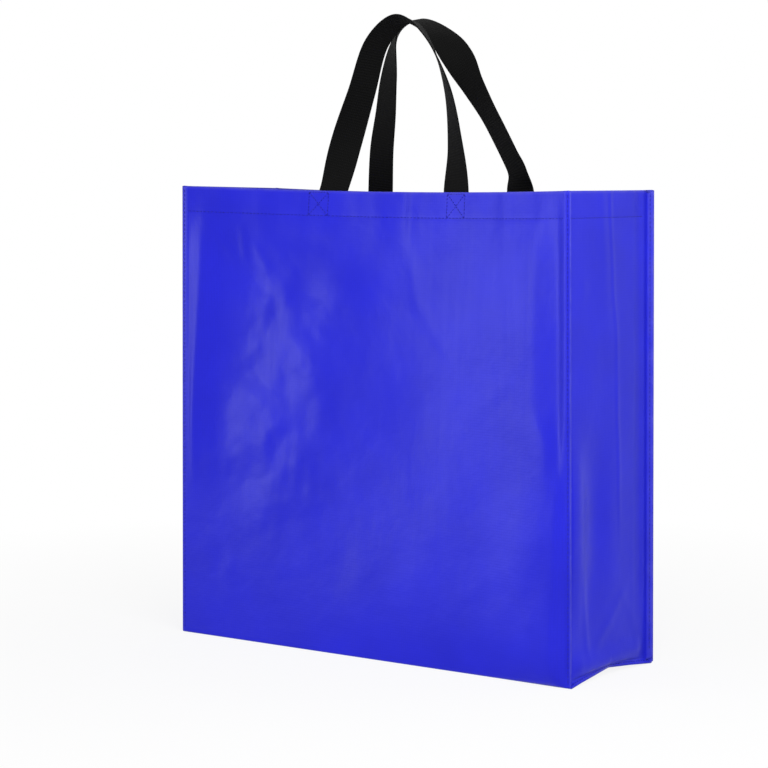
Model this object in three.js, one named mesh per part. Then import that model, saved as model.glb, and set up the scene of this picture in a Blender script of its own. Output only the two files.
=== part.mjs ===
// A plain carrier bag: one folded body sheet, two gussets and two webbing handles.
// Millimetres, +Z up. The front faces -Y, and the origin is the middle of the base on the floor.

import * as THREE from 'three';

// Driving dimensions
const WIDTH = 450; // between the two side seams, at the base
const DEPTH = 145; // between the front and back folds of the base
const HEIGHT = 450; // floor to rim
const SHEET = 0.3; // laminated woven sheet
const GAP = 0.35; // between sheets that are sewn together
const FIN = 6; // seam allowance that stands proud at each sewn edge
const HEM = 26; // depth of the hem that is turned in at the rim
const HEM_FOLD = 0.45; // radius of the fold at the rim
const BASE_FOLD = 2; // radius of the folds along the base
const RIM_INSET = 4; // how far each side of the rim is drawn in
const FRONT_DENT = 34; // how far the middle of the front rim is drawn back
const BACK_DENT = 7; // how far the middle of the back rim is drawn forward
const DENT_RISE = 1.1; // how fast a dent grows towards the rim, as a power
const DENT_FLATNESS = 1.8; // how flat a dent is across its middle, as a power
const FRONT_SAG = 3.8; // how far the middle of the front rim sags
const BACK_SAG = 3.6;
const LEFT_DROP = 4.1; // how far the rim of the left gusset falls from front to back
const RIGHT_DROP = 1.5;
const BACK_FLARE = 0.8; // how far the fins of the back seams lean away from the bag, per mm
const BELLY = 7; // how far the walls swell out
const BELLY_HEIGHT = 58; // where they swell most
const GUSSET_BELLY = 5; // how far each gusset swells out
const GUSSET_BELLY_HEIGHT = 160;
const STRAP_WIDTH = 30;
const STRAP = 1.2; // webbing thickness
const HEM_CORNER = 3; // how far a turned-in hem stops short of the side seam
const CORNER_CUT = 3; // height of the small cut in each sheet where two rims meet

// Worked out from the driving dimensions
const HALF_WIDTH = WIDTH / 2;
const HALF_DEPTH = DEPTH / 2;
const FLOOR = SHEET / 2; // middle of the base sheet
const SEAM_PITCH = SHEET + GAP; // middle of one sewn sheet to the middle of the next
const HEM_PITCH = 2 * HEM_FOLD; // middle of a wall to the middle of its hem
const STRAP_PITCH = HEM_PITCH + SHEET / 2 + GAP + STRAP / 2; // middle of a wall to the middle of a foot
const GUSSET_REACH = HALF_DEPTH - SEAM_PITCH; // where a gusset turns out into its seam
const LEFT = -1;
const RIGHT = 1;
const FRONT = -1;
const BACK = 1;

// Stations of the folded sheets
const HALF_COLUMNS = [45, 105, 165, 200, HALF_WIDTH, HALF_WIDTH + FIN];
const BODY_COLUMNS = [...HALF_COLUMNS.map((x) => -x).reverse(), ...HALF_COLUMNS];
const LOW_WALL = BASE_FOLD + FLOOR;
const WALL_HEIGHTS = [HEIGHT - CORNER_CUT, HEIGHT - HEM, 330, 220, 130, BELLY_HEIGHT, 22, LOW_WALL];
const BASE_TURNS = [1, 2].map((step) => (step * Math.PI) / 6);
const BASE_ROWS = 4;
const GUSSET_ROWS = 8;
const STRAP_COLUMNS = [-STRAP_WIDTH / 2, 0, STRAP_WIDTH / 2];
const STRAP_ROWS = 48;

// Handle routes above the rim: x, y, z of the middle of the webbing and its twist in degrees.
// At a twist of 0 the webbing's width lies front to back, as it does where a hand grips it.
const FRONT_ROUTE = [
  [-51, -35, 493, -50],
  [-34, -33, 541, -24],
  [-17, -31, 588, -14],
  [13, -28, 610, -12],
  [43, -31, 588, -25],
  [66, -33, 542, -44],
  [77, -36, 490, -61],
];
const BACK_ROUTE = [
  [-79, 61, 484, 86],
  [-72, 58, 520, 77],
  [-65, 54, 556, 67],
  [-54, 50, 593, 42],
  [-33, 48, 612, 8],
  [-3, 48, 601, 18],
  [22, 47, 576, 62],
  [40, 49, 547, 105],
  [58, 55, 514, 118],
  [74, 61, 481, 118],
  [82, 63, 464, 112],
];
// Where the feet leave the rim and where they end inside the hem: x, height above or below the rim
const FRONT_FEET = [[-73, -HEM + 2], [-64, -1], [84, -1], [85, -HEM + 2]];
const BACK_FEET = [[-86, -HEM + 2], [-85, -1], [86, -1], [87, -HEM + 2]];

const film = new THREE.MeshStandardMaterial({
  name: 'blue_woven_sheet',
  color: '#3b3dd5',
  roughness: 0.4,
});
const webbing = new THREE.MeshStandardMaterial({
  name: 'black_webbing',
  color: '#161616',
  roughness: 0.85,
});

// 0 at the floor, 1 at the rim
const rise = (z) => THREE.MathUtils.clamp(z / HEIGHT, 0, 1);

// Half the width between the side seams at a height
const seamX = (z) => HALF_WIDTH - RIM_INSET * rise(z);

// 1 at the height where a wall swells most, 0 at the floor and next to nothing at the rim
const swell = (z, peak) => (z / peak) * Math.exp(1 - z / peak);

// How much lower the rim is than at the front seams, by shares of the half width and the half depth
function rimDrop(xShare, yShare) {
  return (THREE.MathUtils.lerp(LEFT_DROP, RIGHT_DROP, (1 + xShare) / 2) * (1 + yShare)) / 2;
}

// How far a fin leans away from the bag, per mm
const flare = (side) => (side === BACK ? BACK_FLARE : 0);

// Middle of the front or back wall at a distance from its centre line and a height
function wallPoint(side, across, z) {
  const half = seamX(z);
  const x = THREE.MathUtils.clamp((across * half) / HALF_WIDTH, -half, half);
  const fin = Math.max(Math.abs(across) - HALF_WIDTH, 0);
  const out = Math.abs(x / half);
  const depth = side === FRONT ? FRONT_DENT : BACK_DENT;
  const sag = (side === FRONT ? FRONT_SAG : BACK_SAG) * (1 - out ** 2);
  const dent = depth * (1 - out ** DENT_FLATNESS) * rise(z) ** DENT_RISE;
  const belly = BELLY * (1 - out ** 2) * swell(z, BELLY_HEIGHT);
  const y = side * (HALF_DEPTH - dent + belly + fin * flare(side));
  const fall = (sag + rimDrop(x / half, side)) * rise(z) ** 2;
  return new THREE.Vector3(x + fin * Math.sign(across), y, z - fall);
}

// A point on the inside of a wall, by a distance along its inward direction
function insideWall(side, across, z, distance) {
  const step = 1;
  const alongX = wallPoint(side, across + step, z).sub(wallPoint(side, across - step, z));
  const alongZ = wallPoint(side, across, z).sub(wallPoint(side, across, z - step));
  const inward = alongX.cross(alongZ).normalize();
  if (inward.y * side > 0) inward.negate();
  return wallPoint(side, across, z).addScaledVector(inward, distance);
}

// A closed sheet of even thickness through a grid of points on its middle. Corners are mitred.
function sheetGeometry(points, thickness) {
  const columns = points.length - 1;
  const rows = points[0].length - 1;
  const direction = (from, to) => to.clone().sub(from).normalize();
  const turn = (before, here, after) => {
    const first = before ? direction(before, here) : direction(here, after);
    const second = after ? direction(here, after) : first;
    const mean = first.clone().add(second).normalize();
    return { mean, mitre: 1 / Math.max(mean.dot(second), 0.5) };
  };
  const offset = (i, j) => {
    const across = turn(points[i - 1]?.[j], points[i][j], points[i + 1]?.[j]);
    const along = turn(points[i][j - 1], points[i][j], points[i][j + 1]);
    const normal = across.mean.cross(along.mean).normalize();
    return normal.multiplyScalar((thickness / 2) * across.mitre * along.mitre);
  };
  const geometry = new THREE.BoxGeometry(1, 1, 2, columns, rows, 1);
  const position = geometry.getAttribute('position');
  for (let k = 0; k < position.count; k += 1) {
    const i = Math.round((position.getX(k) + 0.5) * columns);
    const j = Math.round((position.getY(k) + 0.5) * rows);
    const place = points[i][j].clone().addScaledVector(offset(i, j), position.getZ(k));
    position.setXYZ(k, place.x, place.y, place.z);
  }
  // Both faces of the sheet are cut along the same diagonals, so that a twisted cell keeps its thickness
  const { index } = geometry;
  const under = geometry.groups[5];
  for (let k = under.start; k < under.start + under.count; k += 6) {
    const [a, b, d, , c] = Array.from({ length: 6 }, (_, corner) => index.getX(k + corner));
    [a, b, c, a, c, d].forEach((corner, n) => index.setX(k + n, corner));
  }
  geometry.computeVertexNormals();
  return geometry;
}

function named(name, geometry, material) {
  const mesh = new THREE.Mesh(geometry, material);
  mesh.name = name;
  return mesh;
}

// Distance across a hem that stops short of the side seam, so that the hems of two sheets clear each other
function clipped(across, seam) {
  const past = Math.abs(across) - seam;
  return past < 0 ? across : Math.sign(across) * (seam - 2 * HEM_CORNER + (past * HEM_CORNER) / FIN);
}

// Rows of the body sheet for the front or the back, from the end of the hem to the last turn into the base
function bodySide(side) {
  const hem = (z, pitch) => (across) => insideWall(side, clipped(across, HALF_WIDTH), z, pitch);
  const top = (across) => {
    const point = hem(HEIGHT - HEM_FOLD, HEM_FOLD)(across);
    point.z += HEM_FOLD;
    return point;
  };
  const wall = WALL_HEIGHTS.map((z) => (across) => wallPoint(side, across, z));
  const turns = BASE_TURNS.map((angle) => (across) => {
    const point = wallPoint(side, across, 0);
    point.y = side * (HALF_DEPTH - BASE_FOLD * (1 - Math.cos(angle)));
    point.z = FLOOR + BASE_FOLD * (1 - Math.sin(angle));
    return point;
  });
  const rim = HEIGHT - HEM_FOLD;
  return [hem(HEIGHT - HEM, HEM_PITCH), hem(rim, HEM_PITCH), top, hem(rim, 0), ...wall, ...turns];
}

function bodyPanel() {
  const flat = HALF_DEPTH - BASE_FOLD;
  const base = Array.from({ length: BASE_ROWS + 1 }, (_, row) => (across) => {
    return new THREE.Vector3(across, flat * ((2 * row) / BASE_ROWS - 1), FLOOR);
  });
  const rows = [...bodySide(FRONT), ...base, ...bodySide(BACK).reverse()];
  const points = BODY_COLUMNS.map((across) => rows.map((row) => row(across)));
  return named('body_panel', sheetGeometry(points, SHEET), film);
}

// Middle of a gusset at a distance from its centre line and a height
function gussetPoint(side, across, z) {
  const y = THREE.MathUtils.clamp(across, -GUSSET_REACH, GUSSET_REACH);
  const fin = Math.max(Math.abs(across) - GUSSET_REACH, 0);
  const belly = GUSSET_BELLY * (1 - (y / GUSSET_REACH) ** 2) * swell(z, GUSSET_BELLY_HEIGHT);
  const lean = Math.sign(across) * fin * flare(across < 0 ? FRONT : BACK);
  const fall = rimDrop(side, y / HALF_DEPTH) * rise(z) ** 2;
  return new THREE.Vector3(side * (seamX(z) + fin + belly), y + lean, z - fall);
}

function gusset(name, side) {
  const edge = GUSSET_REACH + FIN;
  const columns = [-edge, -GUSSET_REACH, -40, 0, 40, GUSSET_REACH, edge];
  const foot = FLOOR + SEAM_PITCH;
  const inner = (across, z, reach) => {
    return gussetPoint(side, clipped(across, GUSSET_REACH), z).add(new THREE.Vector3(side * reach, 0, 0));
  };
  const walls = Array.from({ length: GUSSET_ROWS }, (_, row) => {
    const z = THREE.MathUtils.lerp(HEM_CORNER * 3, HEIGHT - HEM, row / (GUSSET_ROWS - 1));
    return (across) => gussetPoint(side, across, z);
  });
  const rows = [
    (across) => inner(across, foot, FIN),
    (across) => inner(across, foot, 0),
    ...walls,
    (across) => gussetPoint(side, across, HEIGHT - CORNER_CUT),
    (across) => inner(across, HEIGHT - HEM_FOLD, 0),
    (across) => inner(across, HEIGHT, -HEM_FOLD),
    (across) => inner(across, HEIGHT - HEM_FOLD, -HEM_PITCH),
    (across) => inner(across, HEIGHT - HEM, -HEM_PITCH),
  ];
  const ordered = side === RIGHT ? columns : columns.reverse();
  const points = ordered.map((across) => rows.map((row) => row(across)));
  return named(name, sheetGeometry(points, SHEET), film);
}

// A value that passes through a list of evenly spaced values and never overshoots them
function steadyValue(values, t) {
  const spot = t * (values.length - 1);
  const k = Math.min(Math.floor(spot), values.length - 2);
  const step = (n) => (values[n + 1] ?? values[n]) - (values[n] ?? values[n + 1]);
  const slope = (n) => {
    const before = n > 0 ? step(n - 1) : 0;
    const after = n < values.length - 1 ? step(n) : 0;
    return before * after > 0 ? (2 * before * after) / (before + after) : 0;
  };
  const f = spot - k;
  const g = 1 - f;
  const level = values[k] * g * g * (1 + 2 * f) + values[k + 1] * f * f * (1 + 2 * g);
  return level + f * g * (slope(k) * g - slope(k + 1) * f);
}

// A length of webbing along a route, sewn inside the hem at both ends
function handle(name, side, route, feet) {
  const sewn = feet.map(([x, dz]) => insideWall(side, x, HEIGHT + dz, STRAP_PITCH));
  const feetTwist = feet.map(([x]) => {
    const slope = wallPoint(side, x + 1, HEIGHT).y - wallPoint(side, x, HEIGHT).y;
    return side * (90 - THREE.MathUtils.radToDeg(Math.atan(Math.abs(slope))));
  });
  const places = route.map(([x, y, z]) => new THREE.Vector3(x, y, z));
  const line = [...sewn.slice(0, 2), ...places, ...sewn.slice(2)];
  const turns = [...feetTwist.slice(0, 2), ...route.map((station) => station[3]), ...feetTwist.slice(2)];
  const path = new THREE.CatmullRomCurve3(line, false, 'catmullrom', 0.5);
  const depth = new THREE.Vector3(0, 1, 0);
  const rows = Array.from({ length: STRAP_ROWS + 1 }, (_, row) => {
    const t = row / STRAP_ROWS;
    const tangent = path.getTangent(t);
    const flat = depth.clone().addScaledVector(tangent, -depth.dot(tangent)).normalize();
    const width = flat.applyAxisAngle(tangent, THREE.MathUtils.degToRad(steadyValue(turns, t)));
    return { centre: path.getPoint(t), width };
  });
  const points = STRAP_COLUMNS.map((across) => {
    return rows.map(({ centre, width }) => centre.clone().addScaledVector(width, across));
  });
  return named(name, sheetGeometry(points, STRAP), webbing);
}

const bag = new THREE.Group();
bag.add(bodyPanel());
bag.add(gusset('left_gusset', LEFT));
bag.add(gusset('right_gusset', RIGHT));
bag.add(handle('front_handle', FRONT, FRONT_ROUTE, FRONT_FEET));
bag.add(handle('back_handle', BACK, BACK_ROUTE, BACK_FEET));

export default bag;
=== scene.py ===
"""Looks of a plain carrier bag: a folded sheet body, two sewn-in gussets and two webbing handles.

Shapes are worked out in millimetres and go into the meshes in metres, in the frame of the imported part.
"""

import math
from functools import partial

import bmesh
import bpy
from mathutils import Matrix, Vector, noise


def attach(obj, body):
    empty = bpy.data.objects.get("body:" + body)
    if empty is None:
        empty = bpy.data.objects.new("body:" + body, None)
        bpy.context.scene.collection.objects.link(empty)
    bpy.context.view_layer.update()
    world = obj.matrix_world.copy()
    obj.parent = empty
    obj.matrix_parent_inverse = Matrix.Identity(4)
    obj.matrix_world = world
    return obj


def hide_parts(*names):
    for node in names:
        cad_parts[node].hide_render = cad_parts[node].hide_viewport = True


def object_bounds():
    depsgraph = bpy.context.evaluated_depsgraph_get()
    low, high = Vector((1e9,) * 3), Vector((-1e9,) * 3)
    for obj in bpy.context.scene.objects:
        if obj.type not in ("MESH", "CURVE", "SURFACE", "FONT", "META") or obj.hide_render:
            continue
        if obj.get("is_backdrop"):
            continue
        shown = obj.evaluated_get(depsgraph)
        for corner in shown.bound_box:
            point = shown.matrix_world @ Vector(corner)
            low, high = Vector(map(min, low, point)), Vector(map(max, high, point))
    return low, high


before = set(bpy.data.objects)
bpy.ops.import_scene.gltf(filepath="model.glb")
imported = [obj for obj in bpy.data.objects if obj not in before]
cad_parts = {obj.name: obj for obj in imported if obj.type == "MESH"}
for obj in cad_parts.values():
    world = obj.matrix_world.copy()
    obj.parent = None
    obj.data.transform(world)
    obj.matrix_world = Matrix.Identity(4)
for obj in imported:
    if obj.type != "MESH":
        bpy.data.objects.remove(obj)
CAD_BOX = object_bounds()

bl_info = {
    "name": "Carrier Bag",
    "version": (1, 0, 0),
    "blender": (4, 5, 0),
    "location": "View3D > Sidebar > Carrier Bag",
    "description": "Builds a laminated woven carrier bag with webbing handles, and its studio",
    "category": "Object",
}

MM = 0.001
FRONT, BACK = -1, 1
LEFT, RIGHT = -1, 1

# How the walls stand, in millimetres
GAP = 0.35  # between sheets that are sewn together
HEM_FOLD = 0.45  # radius of the fold at the rim
BASE_FOLD = 2.0  # radius of the folds along the base
RIM_INSET = 4.0  # how far each side of the rim is drawn in
DENT = {FRONT: 34.0, BACK: 7.0}  # how far the middle of each rim is drawn towards the other
DENT_RISE = {FRONT: 0.85, BACK: 1.1}  # power of the height by which each dent grows
DENT_FLATNESS = 1.8  # power that rounds the dents across the bag
BACK_BELLY = 8.0  # how far the back swells out
BACK_BELLY_HEIGHT = 58.0  # where it swells most
FRONT_BELLY = 5.6
FRONT_BELLY_HEIGHT = 75.0
FRONT_BELLY_FALL = 0.18  # how much lower that is for each millimetre to the right
CORNER_BELLY = 5.0  # of the front, above the right-hand corner of the base
CORNER_BELLY_X = 214.0
CORNER_BELLY_HEIGHT = 34.0
SEAM_SWELL = 4.8  # how far the front falls beside its right-hand seam
GUSSET_BELLY = 2.0
GUSSET_BELLY_HEIGHT = 160.0
RIM_SAG = {FRONT: 3.8, BACK: 3.6}  # how far the middle of each rim sags
RIM_DROP = {LEFT: 4.1, RIGHT: 1.5}  # how far each gusset's rim falls from its front end to its back end
FIN_FLARE = {FRONT: 0.0, BACK: 0.4}  # how far the fins of the side seams lean away from the bag
HEM_CORNER = 3.0  # how far a turned-in hem stops short of the side seam
FOOT_CORNER = 0.8  # how far the foot of a gusset stops short of it
END_LIFT = 6.2  # how far the middle of each end of the base stands off the floor
END_LIFT_MIDDLE = 6.0  # how far behind the centre that is
END_LIFT_REACH = 85.0  # how far in from the end the base comes down again
FIN_DROOP = math.radians(116)  # how far the seam at each end of the base hangs down
HEM_STITCH = 24.5  # hem stitching below the rim
HEM_GROOVE = 0.16  # how deep that stitching pulls the sheet in
SEAM_STITCH = 3.0  # seam stitching from the cut edge
STITCH = 4.2  # length of a stitch in a hem or a seam
THREAD = 0.75  # thickness of a stitch
THREAD_RISE = 0.16  # how far the middle of a stitch stands off the sheet
FOLD_RUB = 1.6  # half width of the wear along a fold
EDGE_RUB = 0.9  # half width of the wear along a cut edge

# Distances between the stations of the meshes, in millimetres
FRONT_STEP = 3.1
BACK_STEP = 5.6
HEM_STEP = 3.2
WEBBING_ROWS = 190  # stations along each handle

# Handle routes above the rim: x, y, z of the middle of the webbing and its twist in degrees.
# At a twist of 0 the webbing's width lies front to back.
HANDLE_ROUTES = {
    FRONT: [
        (-51, -35, 493, -50),
        (-34, -33, 541, -24),
        (-17, -31, 588, -14),
        (13, -28, 610, -12),
        (43, -31, 588, -25),
        (66, -33, 542, -44),
        (77, -36, 490, -61),
    ],
    BACK: [
        (-79, 61, 484, 86),
        (-72, 58, 520, 77),
        (-65, 54, 556, 67),
        (-54, 50, 593, 42),
        (-33, 48, 612, 8),
        (-3, 48, 601, 18),
        (22, 47, 576, 62),
        (40, 49, 547, 105),
        (58, 55, 514, 118),
        (74, 61, 481, 118),
        (82, 63, 464, 112),
    ],
}
# Where the feet end inside the hem and where they leave the rim: x, height from the rim
HANDLE_FEET = {
    FRONT: [(-73, -24), (-64, -1), (84, -1), (85, -24)],
    BACK: [(-86, -24), (-85, -1), (86, -1), (87, -24)],
}
BOX_STITCH = {FRONT: (-79, 86), BACK: (-86, 87)}  # middles of the stitched boxes that hold the feet
BOX_STITCH_WIDTH = 22.0
BOX_STITCH_LENGTH = 3.1  # length of a stitch in them

# Soft patches of the front wall that lean: x and z of the middle, half width, half height and slopes.
# A patch with a positive first slope faces left, and one with a positive second slope faces up.
FRONT_PATCHES = [
    (130, 190, 90, 80, 0.04, 0.045),
    (168, 150, 42, 70, 0.06, 0.03),
    (-35, 280, 60, 90, 0.06, 0.0),
    (-146, 285, 50, 86, 0.19, 0.0),
    (-96, 290, 50, 86, 0.19, 0.0),
    (-134, 356, 30, 17, 0.08, 0.0),
    (-66, 350, 34, 22, 0.14, 0.0),
    (-94, 252, 20, 24, 0.10, 0.0),
    (-170, 222, 30, 32, 0.12, 0.0),
    (-72, 230, 17, 22, 0.09, 0.0),
    (-96, 190, 13, 34, 0.12, 0.0),
    (-79, 165, 9, 20, 0.09, 0.0),
    (-140, 168, 44, 44, 0.10, 0.0),
    (-178, 74, 11, 14, 0.11, 0.0),
    (-22, 84, 20, 20, 0.06, 0.0),
]
# Soft folds of the front wall: x and z of both ends, half width and height, all in millimetres.
# A negative height is a valley.
FRONT_FOLDS = [
    # a wide V below the right-hand handle foot
    (30, 394, 44, 342, 7.0, -0.4),
    (44, 342, 90, 290, 8.0, -0.4),
    (116, 236, 172, 300, 8.0, 0.2),
    # short wrinkles that run from the hem into the upper left corner
    (-206, 420, -176, 384, 5.0, 0.8),
    (-165, 410, -161, 380, 4.0, 0.7),
    (-150, 394, -136, 372, 5.0, 0.6),
    (-128, 404, -62, 398, 9.0, -0.6),
    # faint pulls from the base into the right half
    (196, 52, 168, 96, 8.0, 0.4),
]
# Upright ripples that the hem stitching draws into the front rim: x, half width to the left and to the
# right, and height
RIM_RIPPLES = [
    (-188, 12, 12, 1.0),
    (-144, 10, 10, 0.6),
    (-108, 8, 8, -0.4),
    (-9, 24, 22, 2.0),
    (31, 4.5, 34, 1.3),
    (118, 12, 12, 0.5),
    (151, 11, 11, 0.8),
    (184, 9, 9, -0.5),
]
FACET_PITCH = 30.0  # corner to corner of a crumpled facet
# Crumpled places of the front wall: x and z of the middle, half width, half height and strength
CRUMPLED = [(-112, 300, 66, 84, 1.0), (-126, 175, 62, 62, 0.8)]
# Soft patches and folds of each gusset, front to back and upright.
# A patch with a positive first slope faces front.
GUSSET_PATCHES = [
    (-40, 152, 27, 64, -0.31, 0.0),
    (-48, 190, 14, 24, -0.07, 0.0),
    (-43, 84, 14, 36, -0.10, 0.0),
    (-36, 362, 9, 9, -0.06, 0.0),
]
GUSSET_FOLDS = [
    (-44, 98, -36, 26, 4.5, 0.6),
    (-24, 26, 24, 72, 6.0, 0.5),
    (26, 72, 50, 40, 6.0, 0.4),
]
# The crease that the gusset is folded flat along: front to back and upright
STORAGE_CREASE = [(3, 450), (8, 365), (14, 315), (15, 250), (18, 185), (21, 110)]


def linear(colour):
    """Linear RGB of an sRGB hex value."""
    channels = [int(colour[i : i + 2], 16) / 255 for i in (1, 3, 5)]
    return tuple(c / 12.92 if c <= 0.04045 else ((c + 0.055) / 1.055) ** 2.4 for c in channels)


def clamp(value, low, high):
    return min(max(value, low), high)


def ease(low, high, value):
    """0 below low, 1 above high and smooth between."""
    t = clamp((value - low) / (high - low), 0.0, 1.0)
    return t * t * (3 - 2 * t)


def ramp(low, high, value, soft):
    """0 below low, 1 above high and straight between, with rounded ends."""
    from_low, from_high = math.hypot(value - low, soft), math.hypot(value - high, soft)
    return 0.5 + (from_low - from_high) / (2 * (high - low))


def bell(*offsets):
    return math.exp(-sum(offset * offset for offset in offsets))


def swell(z, peak):
    """1 at the height where a wall swells most, 0 at the floor and next to nothing at the rim."""
    return z / peak * math.exp(1 - z / peak)


def waves(x, z, seed):
    """Smooth noise between -1 and 1, with another pattern for each seed."""
    return noise.noise(Vector((x, z, seed)))


def stitch_groove(below, edge, fade):
    """How deep the hem stitching pulls a wall in, which fades towards the side seam."""
    return HEM_GROOVE * bell((below - HEM_STITCH) / 1.5) * ease(0, fade, edge)


def spread(start, end, step):
    """Even stations from start to end, about a step apart."""
    count = max(1, round(abs(end - start) / step))
    return [start + (end - start) * i / count for i in range(count + 1)]


def soft_folds(folds, x, z):
    """Height at a place on a wall of soft straight folds that fade out at their ends."""
    height = 0.0
    for x0, z0, x1, z1, width, top in folds:
        run = Vector((x1 - x0, z1 - z0))
        away = Vector((x - x0, z - z0))
        along = away.dot(run) / run.length_squared
        if not -0.6 < along < 1.6:
            continue
        off = abs(away.x * run.y - away.y * run.x) / run.length
        if off > 3 * width:
            continue
        ends = ease(-0.35, 0.2, along) * (1 - ease(0.8, 1.35, along))
        height += top * bell(off / width) * ends
    return height


def leaning_patches(patches, x, z):
    """Height at a place on a wall of soft patches that lean."""
    height = 0.0
    for x0, z0, width, tall, slope, tilt in patches:
        lean = slope * (x - x0) - tilt * (z - z0)
        height += lean * bell((x - x0) / width, (z - z0) / tall)
    return height


def facet_height(x, z, pitch):
    """Height between -1 and 1 on a sheet of flat three-cornered facets with uneven corners."""
    bend = Vector((x / (2 * pitch), z / (2 * pitch), 0))
    u = x / pitch + 0.7 * noise.noise(bend)
    v = z / pitch + 0.7 * noise.noise(bend + Vector((7.3, 1.9, 4.1)))
    skew = (u + v) * 0.366
    i, j = math.floor(u + skew), math.floor(v + skew)
    a, b = u + skew - i, v + skew - j

    def corner(di, dj):
        return noise.cell(Vector((i + di + 0.5, j + dj + 0.5, 0.5)))

    if a > b:
        return corner(0, 0) * (1 - a) + corner(1, 0) * (a - b) + corner(1, 1) * b
    return corner(0, 0) * (1 - b) + corner(0, 1) * (b - a) + corner(1, 1) * a


def facets(x, z):
    """Height of a crumpled sheet: large and small facets with soft creases between them."""
    height = 0.0
    for pitch, top in ((FACET_PITCH, 1.0), (FACET_PITCH / 2.3, 0.25)):
        soft = pitch / 12
        for dx, dz in ((soft, 0), (-soft, 0), (0, soft), (0, -soft)):
            height += top / 4 * facet_height(x + dx, z + dz, pitch)
    return height


def along_line(points, z):
    """Position at a height on a line through points that run downwards."""
    for (y0, z0), (y1, z1) in zip(points, points[1:]):
        if z >= z1:
            return y0 + (y1 - y0) * ease(z0, z1, z)
    return points[-1][0]


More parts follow.
